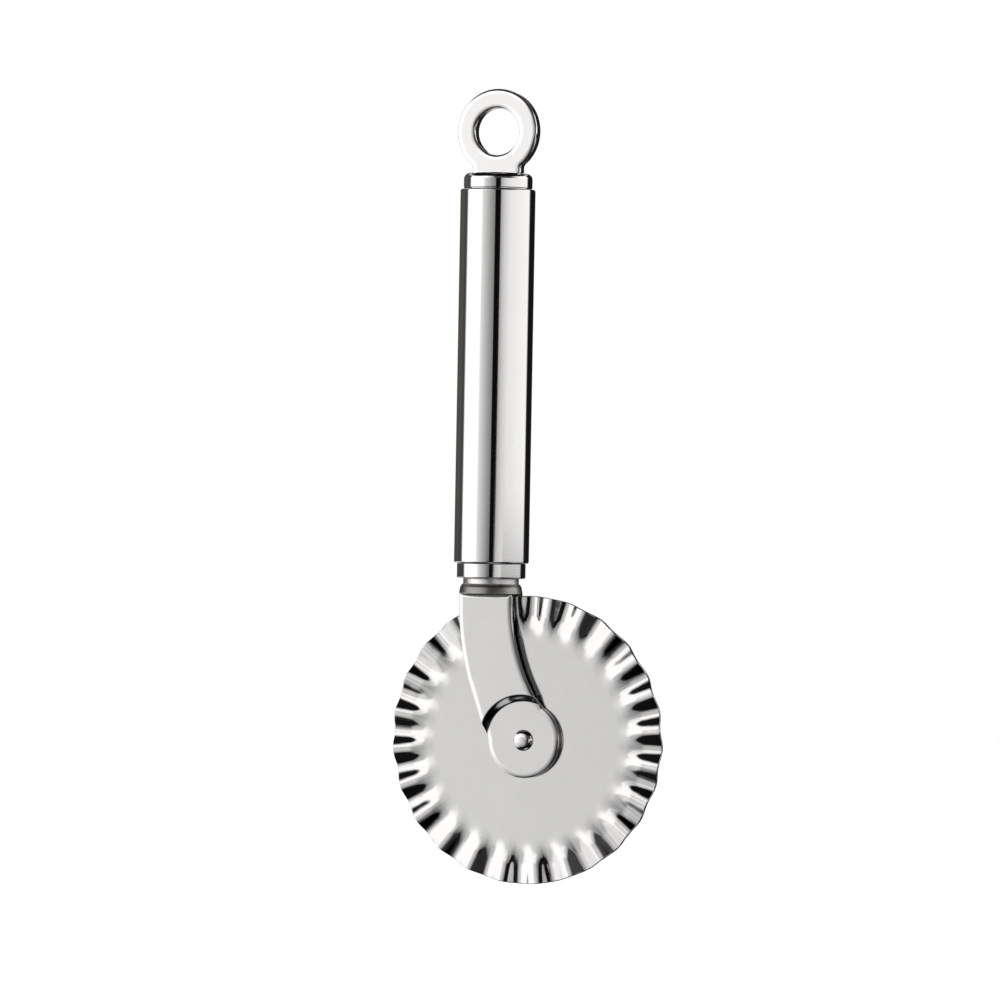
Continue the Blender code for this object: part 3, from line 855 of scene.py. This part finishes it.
# What the steel mirrors, as (degrees, brightness). A turn of 0 is straight towards the camera
# and grows to the camera's right. A rise of 90 is straight up.
STUDIO_STRENGTH = 1.11
RING = [
    (-180, 0.2), (-172, 0.15), (-163, 0.08), (-156, 0.07), (-128, (0.10, 0.09, 0.07)),
    (-116, (0.06, 0.055, 0.07)), (-108, 0.08), (-101, 1.3), (-56, 1.35), (-50, 1.2),
    (-46.5, 0.86), (-38, 0.68), (-22, 0.42), (-8.5, 0.26), (-7.0, 0.004), (8.5, 0.004),
    (10.5, 0.45), (22, 0.72), (40, 0.95), (80, 1.05), (112, 1.1), (118.5, 0.008), (156, 0.008),
    (163, 0.03), (172, 0.12), (180, 0.2),
]
LOW_RING = [
    (-180, 0.35), (-172, 0.3), (-163, 0.2), (-156, 0.03), (-104, 0.03), (-99, 1.35), (-56, 1.35),
    (-50, 1.2), (-46.5, 0.86), (-42, 0.8), (-36, 0.62), (-27, 0.4), (-19, 0.24), (-13, 0.005),
    (4, 0.005), (8, 0.75), (30, 0.75), (36, 0.02), (156, 0.01), (163, 0.15), (172, 0.3),
    (180, 0.35),
]
OVER_AND_UNDER = [
    (-90, 0.01), (-78, 0.008), (-36, 0.008), (-29, 0.45), (-8, 0.8), (-2, 0.86), (6, 1.3),
    (30, 1.3), (37, 0.008), (74, 0.008), (84, 0.16), (90, 0.16),
]
OVER_AND_UNDER_LEFT = [
    (-90, 0.01), (-76, 0.01), (-42, 0.01), (-33, 0.9), (-6, 1.2), (8, 1.3), (25, 1.3), (32, 0.008),
    (74, 0.008), (84, 0.16), (90, 0.16),
]


def degrees_ramp(nodes, angle, low, high, stops):
    """A ramp over an angle in radians, whose stops are (degrees, value)."""
    span = math.radians(high - low)
    share = nodes.math("DIVIDE", nodes.math("SUBTRACT", angle, math.radians(low)), span)
    return nodes.ramp(share, [((at - low) / (high - low), value) for at, value in stops])


def by_turn(nodes, turn, stops):
    return degrees_ramp(nodes, turn, -180, 180, stops)


def by_rise(nodes, rise, stops):
    return degrees_ramp(nodes, rise, -90, 90, stops)


def mirrored_in_level(nodes, turn, rise):
    """The ring of softboxes and dark gaps that upright steel mirrors, with others below level."""
    ring = by_turn(nodes, turn, RING)
    low_ring = by_turn(nodes, turn, LOW_RING)
    lower = by_rise(nodes, rise, [(-90, 1.0), (-1.4, 1.0), (-0.3, 0.0), (90, 0.0)])
    return nodes.blend(lower, ring, low_ring)


def mirrored_in_tilt(nodes, turn, rise):
    """What tilted steel mirrors above and below the ring, lighter on the camera's left."""
    plain = by_rise(nodes, rise, OVER_AND_UNDER)
    left = by_rise(nodes, rise, OVER_AND_UNDER_LEFT)
    leftwards = by_turn(nodes, turn, [
        (-180, 0.0), (-110, 0.0), (-100, 1.0), (-72, 1.0), (-54, 0.0), (180, 0.0),
    ])
    side = by_turn(nodes, turn, [
        (-180, 1.0), (-44, 1.0), (-34, 0.8), (-20, 0.4), (-12, 0.05), (45, 0.05), (75, 0.9),
        (180, 1.0),
    ])
    light = nodes.vector_math("MULTIPLY", nodes.blend(leftwards, plain, left), side)
    # A dim light far below, which upright steel mirrors when it is seen from above
    deep = nodes.math("MULTIPLY", by_turn(nodes, turn, [
        (-180, 1.0), (-120, 1.0), (-105, 0.0), (-34, 0.0), (-27, 1.0), (95, 1.0),
        (108, 0.0), (165, 0.0), (175, 1.0), (180, 1.0),
    ]), by_rise(nodes, rise, [
        (-90, 0.6), (-76, 0.55), (-69, 0.45), (-63, 0.0), (90, 0.0),
    ]))
    return nodes.vector_math("MAXIMUM", light, deep)


def level_share(nodes, turn, rise):
    """1 where steel mirrors the ring: near the horizon, and further from it behind."""
    near = by_rise(nodes, rise, [
        (-90, 0.0), (-14, 0.0), (-8, 1.0), (7, 1.0), (12, 0.0), (90, 0.0),
    ])
    behind_right = nodes.math("MULTIPLY", by_turn(nodes, turn, [
        (-180, 0.0), (116, 0.0), (122, 1.0), (170, 1.0), (178, 0.0), (180, 0.0),
    ]), degrees_ramp(nodes, nodes.math("ABSOLUTE", rise), 0, 90, [
        (0, 1.0), (26, 1.0), (36, 0.0), (90, 0.0),
    ]))
    behind_left = nodes.math("MULTIPLY", by_turn(nodes, turn, [
        (-180, 0.0), (-172, 1.0), (-108, 1.0), (-102, 0.0), (180, 0.0),
    ]), by_rise(nodes, rise, [
        (-90, 0.0), (-4, 0.0), (0, 1.0), (26, 1.0), (36, 0.0), (90, 0.0),
    ]))
    return nodes.math("MAXIMUM", near, nodes.math("MAXIMUM", behind_right, behind_left))


def make_world():
    """White behind everything. Steel mirrors a ring of softboxes and dark gaps instead."""
    world = bpy.data.worlds.new("studio")
    bpy.context.scene.world = world
    world.use_nodes = True
    nodes = Nodes(world.node_tree)
    world.node_tree.nodes.clear()
    place = nodes.add("ShaderNodeTexCoord").outputs["Generated"]
    x, y, z = nodes.add("ShaderNodeSeparateXYZ", {0: place}).outputs
    turn = nodes.math("ARCTAN2", x, nodes.math("MULTIPLY", y, -1.0))
    turn = nodes.math("SUBTRACT", turn, CAMERA_AZIMUTH)
    turn = nodes.math("WRAP", turn, -math.pi, math.pi)
    rise = nodes.math("ARCSINE", z)
    mixed = nodes.blend(
        level_share(nodes, turn, rise), mirrored_in_tilt(nodes, turn, rise),
        mirrored_in_level(nodes, turn, rise),
    )
    mirrored = nodes.add("ShaderNodeBackground", {"Color": mixed, "Strength": STUDIO_STRENGTH})
    white = nodes.add("ShaderNodeBackground", {"Color": (1, 1, 1, 1), "Strength": 1.0})
    path = nodes.add("ShaderNodeLightPath")
    plain = nodes.math("MAXIMUM", path.outputs["Is Camera Ray"], path.outputs["Is Diffuse Ray"])
    both = nodes.add("ShaderNodeMixShader", {0: plain, 1: mirrored.outputs[0], 2: white.outputs[0]})
    nodes.add("ShaderNodeOutputWorld", {0: both.outputs[0]})


def make_floor():
    """A pale floor well below the piece. Steel doesn't mirror it."""
    bm = bmesh.new()
    bmesh.ops.create_circle(bm, cap_ends=True, radius=FLOOR_RADIUS, segments=96)
    mesh = bpy.data.meshes.new("floor")
    bm.to_mesh(mesh)
    bm.free()
    floor = bpy.data.objects.new("floor", mesh)
    floor.location.z = FLOOR_Z
    bpy.context.scene.collection.objects.link(floor)
    material = bpy.data.materials.new("floor_white")
    material.use_nodes = True
    shader = material.node_tree.nodes["Principled BSDF"]
    shader.inputs["Base Color"].default_value = (0.9, 0.9, 0.9, 1.0)
    shader.inputs["Roughness"].default_value = 0.9
    shader.inputs["Specular IOR Level"].default_value = 0.0
    shader.inputs["Emission Color"].default_value = (1, 1, 1, 1)
    shader.inputs["Emission Strength"].default_value = FLOOR_GLOW
    mesh.materials.append(material)
    floor.visible_glossy = False


def make_camera():
    azimuth = CAMERA_AZIMUTH
    right = Vector((math.cos(azimuth), math.sin(azimuth), 0))
    ahead = Vector((-math.sin(azimuth), math.cos(azimuth), 0))
    turn = Matrix((right, Vector((0, 0, 1)), -ahead)).transposed()
    turn = turn @ Matrix.Rotation(CAMERA_LEAN, 3, "Z")
    data = bpy.data.cameras.new("camera")
    data.sensor_width = SENSOR
    data.lens = SENSOR * CAMERA_DISTANCE / FRAME_HEIGHT
    camera = bpy.data.objects.new("camera", data)
    place = Matrix.Translation(CAMERA_TARGET - ahead * CAMERA_DISTANCE)
    camera.matrix_world = place @ turn.to_4x4()
    bpy.context.scene.collection.objects.link(camera)
    bpy.context.scene.camera = camera
    settings = bpy.context.scene.view_settings
    settings.view_transform = "Standard"
    settings.look = "None"


make_eye()
make_tube()
make_caps()
make_ferrule()
make_arm()
make_wheel()
make_axle_parts()
make_rivet()
make_world()
make_floor()
make_camera()
